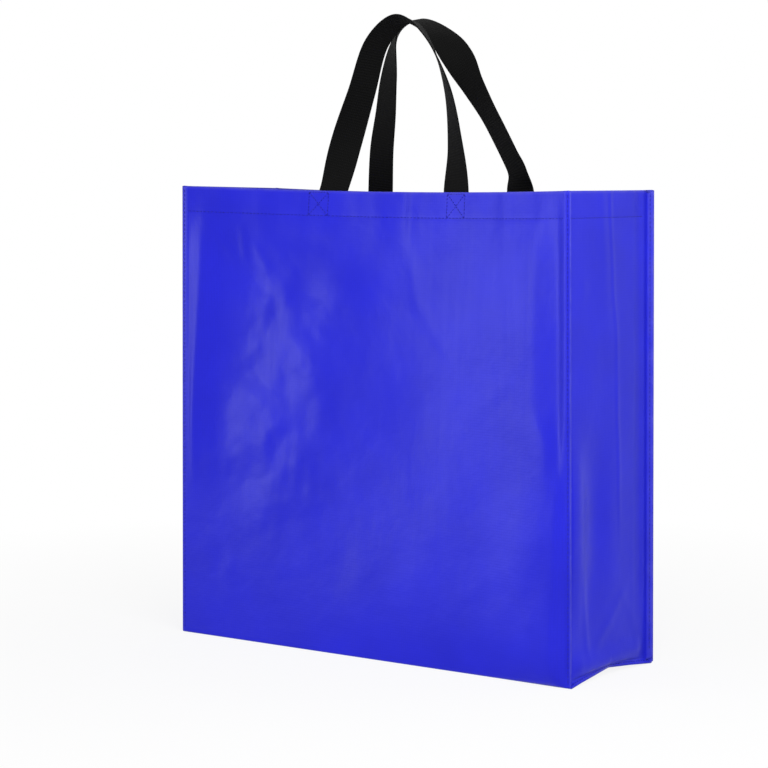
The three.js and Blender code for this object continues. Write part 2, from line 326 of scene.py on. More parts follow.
class BagShape:
    """Where every place of the flat sheets lies on the standing bag, in millimetres."""

    def __init__(self, sizes):
        self.half_width = sizes.width / 2 / MM
        self.half_depth = sizes.depth / 2 / MM
        self.height = sizes.height / MM
        self.sheet = sizes.sheet_thickness / MM
        self.fin = sizes.seam_fin / MM
        self.hem = sizes.hem / MM
        self.strap = sizes.webbing_thickness / MM
        self.strap_width = sizes.webbing_width / MM
        self.crumple = sizes.crumple
        self.floor = self.sheet / 2
        self.seam_pitch = self.sheet + GAP
        self.hem_pitch = 2 * HEM_FOLD
        self.strap_pitch = self.hem_pitch + self.sheet / 2 + GAP + self.strap / 2
        self.gusset_reach = self.half_depth - self.seam_pitch

    def rise(self, z):
        return clamp(z / self.height, 0.0, 1.0)

    def seam_x(self, z):
        return self.half_width - RIM_INSET * self.rise(z)

    def front_relief(self, x, z):
        """How far the front wall stands off its plain shape."""
        edge = self.half_width - abs(x)
        below = self.height - z
        crumpled = 0.0
        for x0, z0, width, tall, strength in CRUMPLED:
            crumpled += strength * bell((x - x0) / width, (z - z0) / tall)
        height = leaning_patches(FRONT_PATCHES, x, z) + soft_folds(FRONT_FOLDS, x, z)
        height += 1.3 * bell((x + 66) / 62, (z - 290) / 90)
        height += facets(x, z) * (0.14 + 1.2 * min(crumpled, 1.0))
        # the right half has wider and softer facets
        height += 0.5 * facets(x / 2.5 + 300, z / 2.5) * ease(-20, 40, x)
        height += waves(x / 95, z / 130, 4.2)
        fade = ease(0, 34 if x < 0 else 10, edge)
        height *= fade * ease(4, 45, z) * ease(0, 55, below) * self.crumple
        # a ridge beside the left-hand seam, which is nearer to it, narrower and lower further down
        low = 1 - ease(190, 390, z)
        ridge = bell((x + 205 + 13 * low) / (12 - 6.5 * low)) * (4.8 - 3.2 * low)
        height += ridge * ease(140, 210, z) * (1 - ease(375, 460, z)) * ease(0, 6, edge)
        # a belly above the right-hand corner of the base
        reach = 60 if x < CORNER_BELLY_X else 7
        belly = CORNER_BELLY * bell((x - CORNER_BELLY_X) / reach) * swell(z, CORNER_BELLY_HEIGHT)
        height += belly * ease(0, 5, edge)
        # the sheet swells towards the right-hand seam, falls below it and comes back to it
        crest = 203 - 17 * ease(215, 260, z)
        foot = 216
        swelling = 0.5 * ramp(40, crest, x, 20) - ramp(crest, foot, x, 4)
        swelling += 0.5 * ramp(foot + 2, 221, x, 2)
        swelling = SEAM_SWELL * swelling * ease(150, 240, z) * (1 - ease(385, 455, z))
        height += swelling * ease(0, 4, edge)
        # ripples and puckers along the hem
        ripple = 0.0
        for place, left, right, top in RIM_RIPPLES:
            ripple += top * bell((x - place) / (left if x < place else right))
        ripple += 0.45 * waves(x / 17, z / 60, 7.4)
        height += ripple * (1 - ease(20, 80, below)) * ease(0, 14, edge)
        pucker = 0.25 * waves(x / 7, 8.8, 2.1) * bell((below - HEM_STITCH) / 9)
        height += pucker * ease(0, 14, edge)
        return height - stitch_groove(below, edge, 10)

    def back_relief(self, x, z):
        """The same for the back wall, which the photograph doesn't show and is creased less."""
        edge = self.half_width - abs(x)
        below = self.height - z
        height = 1.6 * waves(x / 110, z / 150, 9.4)
        height += facets(x + 400, z) * (0.15 + 0.8 * bell((x - 90) / 80, (z - 260) / 110))
        height *= ease(0, 30, edge) * ease(4, 45, z) * ease(0, 60, below) * self.crumple
        ridge = 1.6 * bell((abs(x) - 212) / 8) * ease(120, 300, z) * (1 - ease(420, 450, z))
        height += ridge * ease(0, 6, edge)
        ripple = 0.7 * waves(x / 26, 3.3, 6.1) * (1 - ease(18, 85, below))
        height += ripple * ease(0, 14, edge)
        return height - stitch_groove(below, edge, 10)

    def wall(self, side, across, z):
        """A place on the front or back wall, by its distance from the centre line of the flat sheet."""
        half = self.seam_x(z)
        x = clamp(across * half / self.half_width, -half, half)
        fin = max(abs(across) - self.half_width, 0.0)
        out = abs(x / half)
        dent = DENT[side] * (1 - out**DENT_FLATNESS) * self.rise(z) ** DENT_RISE[side]
        flat_x = clamp(across, -self.half_width, self.half_width)
        if side == FRONT:
            # the belly is fuller, squarer and lower towards the right
            lean = 0.6 + 0.4 * ease(-half, half, x)
            peak = FRONT_BELLY_HEIGHT - FRONT_BELLY_FALL * x
            belly = FRONT_BELLY * lean * (1 - out ** (2 if x < 0 else 60)) * swell(z, peak)
            relief = self.front_relief(flat_x, z)
        else:
            belly = BACK_BELLY * (1 - out**4) * swell(z, BACK_BELLY_HEIGHT)
            relief = self.back_relief(flat_x, z)
        depth = self.half_depth - dent + belly + relief + fin * FIN_FLARE[side]
        fall = RIM_SAG[side] * (1 - out * out) + self.rim_drop(x / half, side)
        return Vector((x + math.copysign(fin, across), side * depth, z - fall * self.rise(z) ** 2))

    def rim_drop(self, x_share, y_share):
        """How much lower the rim is than at the front seams, by shares of half its width and depth."""
        drop = (RIM_DROP[LEFT] * (1 - x_share) + RIM_DROP[RIGHT] * (1 + x_share)) / 2
        return drop * (1 + clamp(y_share, -1, 1)) / 2

    def wall_frame(self, side, across, z):
        """A place on a wall with the directions along +x, up and outwards there."""
        step = 0.8
        place = self.wall(side, across, z)
        along = (self.wall(side, across + step, z) - self.wall(side, across - step, z)).normalized()
        up = (self.wall(side, across, z + step) - self.wall(side, across, z - step)).normalized()
        outward = up.cross(along).normalized()
        if outward.y * side < 0:
            outward.negate()
        return place, along, up, outward

    def inside_wall(self, side, across, z, distance):
        """A place at a distance behind the outer sheet of a wall."""
        place, _, _, outward = self.wall_frame(side, across, z)
        return place - outward * distance

    def face_offset(self, face):
        """From the middle of a hemmed sheet out to its outer face, or in to the face of its hem."""
        return self.sheet / 2 if face > 0 else -self.hem_pitch - self.sheet / 2

    def clipped(self, across, seam, corner=HEM_CORNER):
        """Distance across a turned-in hem or a foot, which stops short of the side seam."""
        past = abs(across) - seam
        if past < -4 * corner:
            return across
        share = (past + 4 * corner) / (4 * corner + self.fin)
        return math.copysign(seam - 4 * corner + share * 3 * corner, across)

    def end_lift(self, y):
        """Height of the tip and of the seam at the end of the base, and the droop between them."""
        reach = self.half_depth + (END_LIFT_MIDDLE if y < END_LIFT_MIDDLE else -END_LIFT_MIDDLE)
        middle = 1 - clamp(abs(y - END_LIFT_MIDDLE) / reach, 0.0, 1.0)
        # the free edge runs straight from each corner to the middle
        droop = math.acos(1 - (1 - math.cos(FIN_DROOP)) * middle)
        tip = END_LIFT * middle
        return tip, tip + self.fin * math.sin(droop), droop

    def base(self, across, y):
        """A place on the base sheet, whose ends bow up from the floor."""
        _, seam, droop = self.end_lift(y)
        past = max(abs(across) - self.half_width, 0.0)
        x = math.copysign(min(abs(across), self.half_width) + past * math.cos(droop), across)
        reach = clamp(1 - (self.half_width - abs(across)) / END_LIFT_REACH, 0.0, 1.0)
        z = self.floor + seam * reach**2.2 - past * math.sin(droop)
        return Vector((x, y, z))

    def gusset_relief(self, side, y, z):
        """How far a gusset stands off its plain shape."""
        edge = self.gusset_reach - abs(y)
        below = self.height - z
        turn = 0.0 if side == RIGHT else 5.2
        height = 0.7 * waves(y / 40, z / 120, 2.6 + turn)
        height += 0.16 * facets(y + 900 + 70 * turn, z)
        height += leaning_patches(GUSSET_PATCHES, y, z) + soft_folds(GUSSET_FOLDS, y, z)
        # the storage crease is a low ridge, steep in front, and the sheet rises a little in front of
        # its upper end
        off = y - along_line(STORAGE_CREASE, z)
        height += 0.6 * bell(off / (2.0 if off < 0 else 3.8)) * ease(100, 190, z)
        height += 0.6 * bell((off + 13) / 7) * ease(320, 400, z)
        # beside the back seam the sheet falls a little, rises and rolls into the seam
        roll = -0.8 * ease(44, 55, y) + 1.3 * ease(57, 66, y) - 0.5 * ease(67.5, 71.5, y)
        height += roll * ease(30, 90, z)
        height *= ease(0, 8, edge) * ease(6, 30, z) * self.crumple
        # the lower end rolls out over its seam
        height += 3.5 * bell((z - 17) / 9) * ease(0, 24, edge)
        return height - stitch_groove(below, edge, 8)

    def gusset(self, side, across, z):
        """A place on a gusset, by its distance from the centre line of the flat sheet."""
        y = clamp(across, -self.gusset_reach, self.gusset_reach)
        fin = max(abs(across) - self.gusset_reach, 0.0)
        end = FRONT if across < 0 else BACK
        belly = GUSSET_BELLY * (1 - (y / self.gusset_reach) ** 2) * swell(z, GUSSET_BELLY_HEIGHT)
        x = self.seam_x(z) + fin + belly + self.gusset_relief(side, y, z)
        fall = self.rim_drop(side, y / self.half_depth) * self.rise(z) ** 2
        return Vector((side * x, y + end * fin * FIN_FLARE[end], z - fall))

    def gusset_foot(self, side, across, past):
        """A place on the seam allowance that hangs from the bottom of a gusset, past its sewn line."""
        y = self.clipped(across, self.gusset_reach, FOOT_CORNER)
        _, seam, droop = self.end_lift(y)
        x = self.half_width + past * math.cos(droop) + self.seam_pitch * math.sin(droop)
        z = self.floor + seam - past * math.sin(droop) + self.seam_pitch * math.cos(droop)
        return Vector((side * x, y, z))


def folded_sheet(name, columns, rows, wear_and_painted_highlight):
    """A sheet whose flat stations are carried to their places. UVs keep the flat places, in metres.

    rows pairs each flat station with a function that places it, and the last argument tells how much
    paler a station is drawn:
    wear along folds and cut edges, and a painted highlight along the back seam fins of the gussets.
    """
    bm = bmesh.new()
    flat = bm.loops.layers.uv.new("flat")
    wear_and_highlight_share = bm.verts.layers.float.new("wear_and_painted_highlight")
    bmesh.ops.create_grid(bm, x_segments=len(columns) - 1, y_segments=len(rows) - 1, size=1)
    if len(bm.verts) != len(columns) * len(rows):
        raise RuntimeError(f"{name}: the grid has {len(bm.verts)} vertices")
    stations = {}
    for vert in bm.verts:
        i = round((vert.co.x + 1) / 2 * (len(columns) - 1))
        j = round((vert.co.y + 1) / 2 * (len(rows) - 1))
        stations[vert] = (columns[i] * MM, rows[j][0] * MM)
        vert[wear_and_highlight_share] = wear_and_painted_highlight(columns[i], rows[j][0])
        vert.co = rows[j][1](columns[i]) * MM
    for face in bm.faces:
        face.smooth = True
        for loop in face.loops:
            loop[flat].uv = stations[loop.vert]
    return finished(name, bm)


def finished(name, bm):
    """A mesh object in the scene, at the origin."""
    mesh = bpy.data.meshes.new(name)
    bm.to_mesh(mesh)
    bm.free()
    piece = bpy.data.objects.new(name, mesh)
    bpy.context.scene.collection.objects.link(piece)
    return piece


def thicken(piece, thickness, inner_material):
    """Gives a sheet its thickness, half to each side."""
    layer = piece.modifiers.new("thickness", "SOLIDIFY")
    layer.thickness = thickness
    layer.offset = 0.0
    layer.use_even_offset = True
    layer.material_offset = inner_material


def body_rows(bag, side, step):
    """Stations of the body sheet for one side, from the end of the hem to the fold into the base."""
    rim = bag.height - HEM_FOLD
    rows = []

    def hem(z, across):
        return bag.inside_wall(side, bag.clipped(across, bag.half_width), z, bag.hem_pitch)

    def turned(angle, across):
        point, _, _, outward = bag.wall_frame(side, bag.clipped(across, bag.half_width), rim)
        point = point - outward * (HEM_FOLD + HEM_FOLD * math.cos(angle))
        point.z += HEM_FOLD * math.sin(angle)
        return point

    def rim_edge(across):
        seam = ease(bag.half_width - 3, bag.half_width, abs(across))
        return bag.wall(side, across, rim - 0.4 + (HEM_FOLD + 0.4) * seam)

    def base_turn(angle, across):
        point = bag.wall(side, across, 0.0)
        point.y = side * (bag.half_depth - BASE_FOLD * (1 - math.cos(angle)))
        point.z = bag.floor + BASE_FOLD * (1 - math.sin(angle))
        return point

    for z in spread(bag.height - bag.hem, rim, HEM_STEP)[:-1]:
        rows.append((z - bag.height + bag.hem, partial(hem, z)))
    length = bag.hem - HEM_FOLD
    for angle in spread(0, math.pi, math.pi / 4):
        rows.append((length + HEM_FOLD * angle, partial(turned, angle)))
    length += HEM_FOLD * math.pi
    rows.append((length + 0.4, rim_edge))
    stitch = bag.height - HEM_STITCH
    heights = [rim - 0.9] + spread(rim - 2.5, stitch + 3.2, step)
    heights += [stitch + 1.4, stitch, stitch - 1.4]
    heights += spread(stitch - 3.2, 24, step) + spread(21.5, BASE_FOLD + bag.floor, 2.6)
    for z in heights:
        rows.append((length + rim - z, partial(bag.wall, side, z=z)))
    length += rim - BASE_FOLD - bag.floor
    for angle in spread(0, math.pi / 2, math.pi / 6)[1:-1]:
        rows.append((length + BASE_FOLD * angle, partial(base_turn, angle)))
    return rows, length + BASE_FOLD * math.pi / 2


def body_panel(bag):
    """The sheet of the front, the base and the back, with the size it was cut to."""
    flat = bag.half_depth - BASE_FOLD
    edge = bag.half_width + bag.fin
    near = [bag.half_width - x for x in (1.2, 3.0, 5.2, 7.6, 10.2)]
    half = [edge, edge - 2, edge - 4, bag.half_width] + near
    reach = near[-1] - 2.9
    columns = half + spread(reach, -reach, 3.0) + [-x for x in reversed(half)]
    front, front_end = body_rows(bag, FRONT, FRONT_STEP)
    back, back_end = body_rows(bag, BACK, BACK_STEP)
    ends = [y - flat for y in (0, 2, 4.5, 8)]
    base = ends + spread(13 - flat, flat - 13, 6.5) + [-y for y in reversed(ends)]
    total = front_end + 2 * flat + back_end
    rows = front + [(front_end + flat + y, partial(bag.base, y=y)) for y in base]
    rows += [(total - station, place) for station, place in reversed(back)]
    folds = [bag.hem, front_end, total - back_end, total - bag.hem]

    def wear_and_painted_highlight(across, station):
        fold = max(bell((station - place) / FOLD_RUB) for place in folds)
        return clamp(fold + 0.8 * bell((edge - abs(across)) / EDGE_RUB), 0.0, 1.0)

    return folded_sheet("body_sheet", columns, rows, wear_and_painted_highlight), (2 * edge * MM, total * MM)


def gusset_panel(bag, name, side):
    """The sheet of one side, with the size it was cut to."""
    edge = bag.gusset_reach + bag.fin
    near = [bag.gusset_reach - x for x in (1.0, 2.6, 4.6, 7.0)]
    half = [edge, edge - 2, edge - 4, bag.gusset_reach] + near
    columns = [-x for x in half] + spread(2.2 - near[-1], near[-1] - 2.2, 2.0) + list(reversed(half))
    rim = bag.height - HEM_FOLD

    def wall(z, across):
        foot = bag.gusset_foot(side, across, 0.0)
        grown = ease(0, 14 if across < 0 else 4, z)
        y = bag.clipped(across, bag.gusset_reach, FOOT_CORNER) * (1 - grown) + across * grown
        start = clamp(1 - z / 60, 0.0, 1.0) ** 2
        point = bag.gusset(side, y, z + (foot.z - bag.floor) * start)
        point.x += (foot.x - side * bag.half_width) * (1 - grown)
        return point

    def hem(z, pitch, across):
        point = bag.gusset(side, bag.clipped(across, bag.gusset_reach), z)
        return point - Vector((side * pitch, 0, 0))

    def turned(angle, across):
        point = hem(rim, HEM_FOLD * (1 - math.cos(angle)), across)
        point.z += HEM_FOLD * math.sin(angle)
        return point

    stitch = bag.height - HEM_STITCH
    heights = [1.2, 2.6, 4.2] + spread(6.5, stitch - 3.2, FRONT_STEP)
    heights += [stitch - 1.4, stitch, stitch + 1.4]
    heights += spread(stitch + 3.2, rim - 2.5, FRONT_STEP) + [rim - 0.9]
    rows = [(-past, partial(bag.gusset_foot, side, past=past)) for past in (bag.fin, 4, 2, 0)]
    rows += [(z, partial(wall, z)) for z in heights]
    for angle in spread(0, math.pi, math.pi / 4):
        rows.append((rim + HEM_FOLD * angle, partial(turned, angle)))
    length = rim + HEM_FOLD * math.pi
    for z in spread(rim, bag.height - bag.hem, HEM_STEP)[1:]:
        rows.append((length + rim - z, partial(hem, z, bag.hem_pitch)))
    if side == LEFT:
        columns.reverse()

    # how much paler each station is drawn: wear along the rim fold and the cut edges, and a painted
    # highlight on the back seam fins
    def wear_and_painted_highlight(across, station):
        # the back seam fins are drawn paler as a painted highlight along them, not as wear
        fin = 0.6 * ease(bag.gusset_reach, bag.gusset_reach + 1, across)
        fold = bell((station - bag.height) / FOLD_RUB)
        return clamp(fin + fold + 0.8 * bell((edge - abs(across)) / EDGE_RUB), 0.0, 1.0)

    cut = (2 * edge * MM, (bag.fin + length + bag.hem) * MM)
    return folded_sheet(name, columns, rows, wear_and_painted_highlight), cut


def route_place(points, t):
    """Place and direction on a smooth line through points."""
    spot = t * (len(points) - 1)
    k = min(int(spot), len(points) - 2)
    f = spot - k
    start, end = points[k], points[k + 1]
    before = points[k - 1] if k else 2 * points[0] - points[1]
    after = points[k + 2] if k + 2 < len(points) else 2 * points[-1] - points[-2]
    leave, arrive = (end - before) / 2, (after - start) / 2
    bend = 2 * start - 2 * end + leave + arrive
    turn = 3 * end - 3 * start - 2 * leave - arrive
    place = start + leave * f + turn * f**2 + bend * f**3
    return place, (leave + 2 * turn * f + 3 * bend * f**2).normalized()


def steady_value(values, t):
    """A value that passes through a list of evenly spaced values and never overshoots them."""
    spot = t * (len(values) - 1)
    k = min(int(spot), len(values) - 2)
    steps = [0.0] + [b - a for a, b in zip(values, values[1:])] + [0.0]

    def slope(n):
        before, after = steps[n], steps[n + 1]
        return 2 * before * after / (before + after) if before * after > 0 else 0.0

    f = spot - k
    g = 1 - f
    level = values[k] * g * g * (1 + 2 * f) + values[k + 1] * f * f * (1 + 2 * g)
    return level + f * g * (slope(k) * g - slope(k + 1) * f)


def webbing_loop(bag, name, side):
    """A length of webbing along its route, with its feet inside the hem."""
    feet = HANDLE_FEET[side]
    sewn = [bag.inside_wall(side, x, bag.height + dz, bag.strap_pitch) for x, dz in feet]
    lean = []
    for x, _ in feet:
        _, along, _, _ = bag.wall_frame(side, x, bag.height - 12)
        lean.append(side * (90 - math.degrees(math.atan(abs(along.y / along.x)))))
    route = HANDLE_ROUTES[side]
    line = sewn[:2] + [Vector(station[:3]) for station in route] + sewn[2:]
    turns = lean[:2] + [station[3] for station in route] + lean[2:]
    rows = []
    length = 0.0
    last = None
    for t in spread(0, 1, 1 / WEBBING_ROWS):
        place, along = route_place(line, t)
        depth = Vector((0, 1, 0))
        flat = (depth - along * depth.dot(along)).normalized()
        width = Matrix.Rotation(math.radians(steady_value(turns, t)), 3, along) @ flat
        length += (place - last).length if last else 0.0
        last = place
        rows.append((length, lambda across, place=place, width=width: place + width * across))
    half = bag.strap_width / 2
    columns = [-half, -half + 0.7] + spread(-half + 3, half - 3, 3) + [half - 0.7, half]
    return folded_sheet(name, columns, rows, lambda across, station: 0.0), (2 * half * MM, length * MM)


def sew(bm, start, end, outward):
    """One stitch between two needle holes, in millimetres: a small oval that lies on the sheet."""
    run = end - start
    across = run.cross(outward).normalized()
    scale = Matrix.Diagonal((run.length * 0.40, THREAD / 2, THREAD / 2, 1))
    turn = Matrix((run.normalized(), across, outward)).transposed().to_4x4()
    place = Matrix.Translation((start + end) / 2 + outward * THREAD_RISE)
    lie = Matrix.Scale(MM, 4) @ place @ turn @ scale
    bmesh.ops.create_icosphere(bm, subdivisions=1, radius=1, matrix=lie)


def sew_line(bm, spots, pitch=STITCH):
    """Stitches along a line of (place, outward) pairs, evenly spaced by the length of the line."""
    lengths = [0.0]
    for (a, _), (b, _) in zip(spots, spots[1:]):
        lengths.append(lengths[-1] + (b - a).length)
    count = max(1, round(lengths[-1] / pitch))

    def at(length):
        k = max(i for i in range(len(spots) - 1) if lengths[i] <= length + 1e-6)
        f = clamp((length - lengths[k]) / max(lengths[k + 1] - lengths[k], 1e-6), 0.0, 1.0)
        place = spots[k][0].lerp(spots[k + 1][0], f)
        return place, spots[k][1].lerp(spots[k + 1][1], f).normalized()

    for i in range(count):
        start, outward = at(lengths[-1] * i / count)
        end, _ = at(lengths[-1] * (i + 1) / count)
        sew(bm, start, end, outward)


def wall_spots(bag, side, places, face):
    """Places on the outer or inner face of a hemmed wall, for sewing."""
    spots = []
    for x, z in places:
        place, _, _, outward = bag.wall_frame(side, x, z)
        spots.append((place + outward * bag.face_offset(face), outward * face))
    return spots


def hem_stitching(bag):
    """Stitches all round the hem, outside and inside."""
    bm = bmesh.new()
    z = bag.height - HEM_STITCH
    edge = bag.half_width - 1
    for side in (FRONT, BACK):
        for face, end in ((1, edge), (-1, edge - 4 * HEM_CORNER)):
            line = [(x, z) for x in spread(-end, end, STITCH)]
            sew_line(bm, wall_spots(bag, side, line, face))
    reach = bag.gusset_reach - 9
    for side in (LEFT, RIGHT):
        for face in (1, -1):
            off = Vector((side * bag.face_offset(face), 0, 0))
            outward = Vector((side * face, 0, 0))
            places = [bag.gusset(side, y, z) + off for y in spread(-reach, reach, STITCH)]
            sew_line(bm, [(place, outward) for place in places])
    return finished("hem_stitching", bm)


def handle_stitching(bag):
    """A crossed box over each foot of the handles."""
    bm = bmesh.new()
    top = bag.height - 1.6
    low = bag.height - HEM_STITCH
    for side in (FRONT, BACK):
        for middle in BOX_STITCH[side]:
            left, right = middle - BOX_STITCH_WIDTH / 2, middle + BOX_STITCH_WIDTH / 2
            legs = [
                (left, low, left, top),
                (left, top, right, top),
                (right, top, right, low),
                (right, low, left, top),
                (left, low, right, top),
            ]
            for x0, z0, x1, z1 in legs:
                line = [(x0 + (x1 - x0) * i / 8, z0 + (z1 - z0) * i / 8) for i in range(9)]
                sew_line(bm, wall_spots(bag, side, line, 1), BOX_STITCH_LENGTH)
    return finished("handle_stitching", bm)


def seam_stitching(bag):
    """Stitches through the fins of the side seams and of the ends of the base."""
    bm = bmesh.new()
    across = bag.half_width + bag.fin - SEAM_STITCH
    reach = bag.gusset_reach + bag.fin - SEAM_STITCH
    for end in (LEFT, RIGHT):
        for side in (FRONT, BACK):
            outward = Vector((0, side, 0))
            heights = spread(5, bag.height - 3, 8)
            face = [bag.wall(side, end * across, z) + outward * bag.sheet / 2 for z in heights]
            sew_line(bm, [(place, outward) for place in face])
            face = [bag.gusset(end, side * reach, z) - outward * bag.sheet / 2 for z in heights[1:]]
            sew_line(bm, [(place, -outward) for place in face])
        tips = []
        for y in spread(-bag.half_depth + 3, bag.half_depth - 3, 4):
            _, _, droop = bag.end_lift(y)
            outward = Vector((end * math.sin(droop), 0, math.cos(droop)))
            place = bag.base(end * across, y) + outward * (bag.seam_pitch + bag.sheet / 2)
            tips.append((place, outward))
        sew_line(bm, tips)
    return finished("seam_stitching", bm)


def add_node(tree, kind, inputs=None, **settings):
    """A shader node with its settings. An input is a value, or another node's output to link."""
    node = tree.nodes.new("ShaderNode" + kind)
    for name, value in settings.items():
        setattr(node, name, value)
    for name, value in (inputs or {}).items():
        if isinstance(value, bpy.types.NodeSocket):
            tree.links.new(value, node.inputs[name])
        else:
            node.inputs[name].default_value = value
    return node


def new_material(name):
    """An empty node material and its tree."""
    material = bpy.data.materials.new(name)
    material.use_nodes = True
    material.node_tree.nodes.clear()
    return material, material.node_tree


WAVE = math.pi / 10  # a wave texture repeats at this length when its scale is 1
TAPE = 2.5 * MM  # width of a woven tape
STREAK_WIDTH = 5 * MM
STREAK_LENGTH = 90 * MM
DIMPLE = 16 * MM
CLOUD = 70 * MM  # size of the lighter and darker places
RIB = 1.9 * MM  # pitch of the cords along the webbing
PICK = 2.6 * MM  # pitch of the cross threads in the webbing
FUZZ = 1.2 * MM  # size of the tufts on the webbing
PLY = 0.8 * MM  # length of a twist of the thread
POLYPROPYLENE_IOR = 1.49


def laminated_sheet(name, colour, roughness, relief, specular):
    """Woven polypropylene tape.

    Outside it is laminated with clear film, so the eye sees a saturated colour under a soft, broad gloss.
    The tapes show through as a fine grid, and the film carries faint upright streaks and shallow dimples.
    Inside it is bare, duller and more clearly woven.
    """
    material, tree = new_material(name)
    flat = add_node(tree, "UVMap", uv_map="flat").outputs["UV"]
    tapes = []
    for direction in ("X", "Y"):
        bands = {"Vector": flat, "Scale": WAVE / TAPE, "Distortion": 0.5, "Detail": 1.0}
        wave = add_node(tree, "TexWave", bands, bands_direction=direction)
        tape = add_node(tree, "MapRange", {"Value": wave.outputs["Fac"], "From Max": 0.22})
        tapes.append(tape.outputs["Result"])
    weave = add_node(tree, "Math", {0: tapes[0], 1: tapes[1]}, operation="MULTIPLY").outputs[0]
    stretch = (1 / STREAK_WIDTH, 1 / STREAK_LENGTH, 1)
    upright = add_node(tree, "Mapping", {"Vector": flat, "Scale": stretch}).outputs["Vector"]
    streaks = add_node(tree, "TexNoise", {"Vector": upright, "Scale": 1.0, "Detail": 2.0}).outputs["Fac"]
    dimpled = {"Vector": flat, "Scale": 1 / DIMPLE, "Detail": 3.0}
    dimples = add_node(tree, "TexNoise", dimpled).outputs["Fac"]
    clouded = {"Vector": flat, "Scale": 1 / CLOUD, "Detail": 2.0}
    cloud = add_node(tree, "TexNoise", clouded).outputs["Fac"]
    middle = {"From Min": 0.3, "From Max": 0.7}
    shade = add_node(tree, "MapRange", {"Value": cloud, **middle, "To Min": 0.93, "To Max": 1.05})
    grid = add_node(tree, "MapRange", {"Value": weave, "To Min": 0.96, "To Max": 1.01})
    both = add_node(
        tree, "Math", {0: shade.outputs["Result"], 1: grid.outputs["Result"]}, operation="MULTIPLY"
    )
    tint = add_node(tree, "VectorMath", {0: colour, "Scale": both.outputs[0]}, operation="SCALE")
    # the sheet is mixed towards a paler colour by this attribute: wear along folds and cut edges, and a
    # painted highlight along the back seam fins of the gussets
    wear_and_painted_highlight = add_node(tree, "Attribute", attribute_name="wear_and_painted_highlight").outputs["Fac"]
    wear_and_highlight_share = add_node(tree, "Math", {0: wear_and_painted_highlight, 1: dimples}, operation="MULTIPLY").outputs[0]
    pale = tuple(c * 0.75 + 0.10 for c in colour)
    surface = add_node(
        tree, "Mix", {"Factor": wear_and_highlight_share, "A": tint.outputs["Vector"], "B": (*pale, 1)}, data_type="RGBA"
    )
    matter = {"To Min": roughness - 0.015, "To Max": roughness + 0.025}
    polish = add_node(tree, "MapRange", {"Value": streaks, **middle, **matter})
    bump = add_node(tree, "Bump", {"Height": weave, "Distance": 0.025 * relief * MM})
    for height, depth in ((streaks, 0.015 * MM), (dimples, 0.30 * MM)):
        under = bump.outputs["Normal"]
        bump = add_node(tree, "Bump", {"Height": height, "Distance": depth, "Normal": under})
    shader = add_node(
        tree,
        "BsdfPrincipled",
        {
            "Base Color": surface.outputs[2],
            "Roughness": polish.outputs["Result"],
            "IOR": POLYPROPYLENE_IOR,
            "Specular IOR Level": specular,
            "Normal": bump.outputs["Normal"],
        },
    )
    add_node(tree, "OutputMaterial", {"Surface": shader.outputs["BSDF"]})
    return material


def black_webbing(colour):
    """Spun-dyed polypropylene webbing.

    Cords run along it and cross threads bind them, so the eye sees a matte black with fine ribs.
    The thread pitch is drawn a little coarser than real, so that it shows.
    """
    material, tree = new_material("polypropylene_webbing")
    flat = add_node(tree, "UVMap", uv_map="flat").outputs["UV"]
    cords = add_node(tree, "TexWave", {"Vector": flat, "Scale": WAVE / RIB}, bands_direction="X")
    crossing = {"Vector": flat, "Scale": WAVE / PICK, "Distortion": 0.8, "Detail": 1.0}
    picks = add_node(tree, "TexWave", crossing, bands_direction="Y")
    bound = {0: cords.outputs["Fac"], 1: picks.outputs["Fac"]}
    weave = add_node(tree, "Math", bound, operation="MULTIPLY").outputs[0]
    fuzz = add_node(tree, "TexNoise", {"Vector": flat, "Scale": 1 / FUZZ, "Detail": 2.0}).outputs["Fac"]
    light = tuple(2.3 * c for c in colour)
    surface = add_node(
        tree, "Mix", {"Factor": weave, "A": (*colour, 1), "B": (*light, 1)}, data_type="RGBA"
    )
    ribs = add_node(tree, "Bump", {"Height": weave, "Distance": 0.30 * MM}).outputs["Normal"]
    hairs = add_node(tree, "Bump", {"Height": fuzz, "Distance": 0.10 * MM, "Normal": ribs})
    shader = add_node(
        tree,
        "BsdfPrincipled",
        {
            "Base Color": surface.outputs[2],
            "Roughness": 0.72,
            "IOR": POLYPROPYLENE_IOR,
            "Specular IOR Level": 0.06,
            "Normal": hairs.outputs["Normal"],
        },
    )
    add_node(tree, "OutputMaterial", {"Surface": shader.outputs["BSDF"]})
    return material


def sewing_thread(colour):
    """Polyester thread, twisted from two plies.

    So the eye sees a soft sheen and a slightly uneven colour on each stitch.
    """
    material, tree = new_material("polyester_thread")
    place = add_node(tree, "TexCoord").outputs["Object"]
    ply = add_node(tree, "TexNoise", {"Vector": place, "Scale": 1 / PLY, "Detail": 1.0}).outputs["Fac"]
    light = tuple(1.7 * c for c in colour)
    surface = add_node(
        tree, "Mix", {"Factor": ply, "A": (*colour, 1), "B": (*light, 1)}, data_type="RGBA"
    )
    shader = add_node(
        tree,
        "BsdfPrincipled",
        {"Base Color": surface.outputs[2], "Roughness": 0.5, "Specular IOR Level": 0.3},
    )
    add_node(tree, "OutputMaterial", {"Surface": shader.outputs["BSDF"]})
    return material


def seen_rays(tree):
    """1 for rays that show the backdrop itself: straight to the camera, or by way of gloss or glass."""
    path = add_node(tree, "LightPath")
    seen = path.outputs["Is Camera Ray"]
    for ray in ("Is Glossy Ray", "Is Transmission Ray"):
        seen = add_node(tree, "Math", {0: seen, 1: path.outputs[ray]}, operation="MAXIMUM").outputs[0]
    return seen


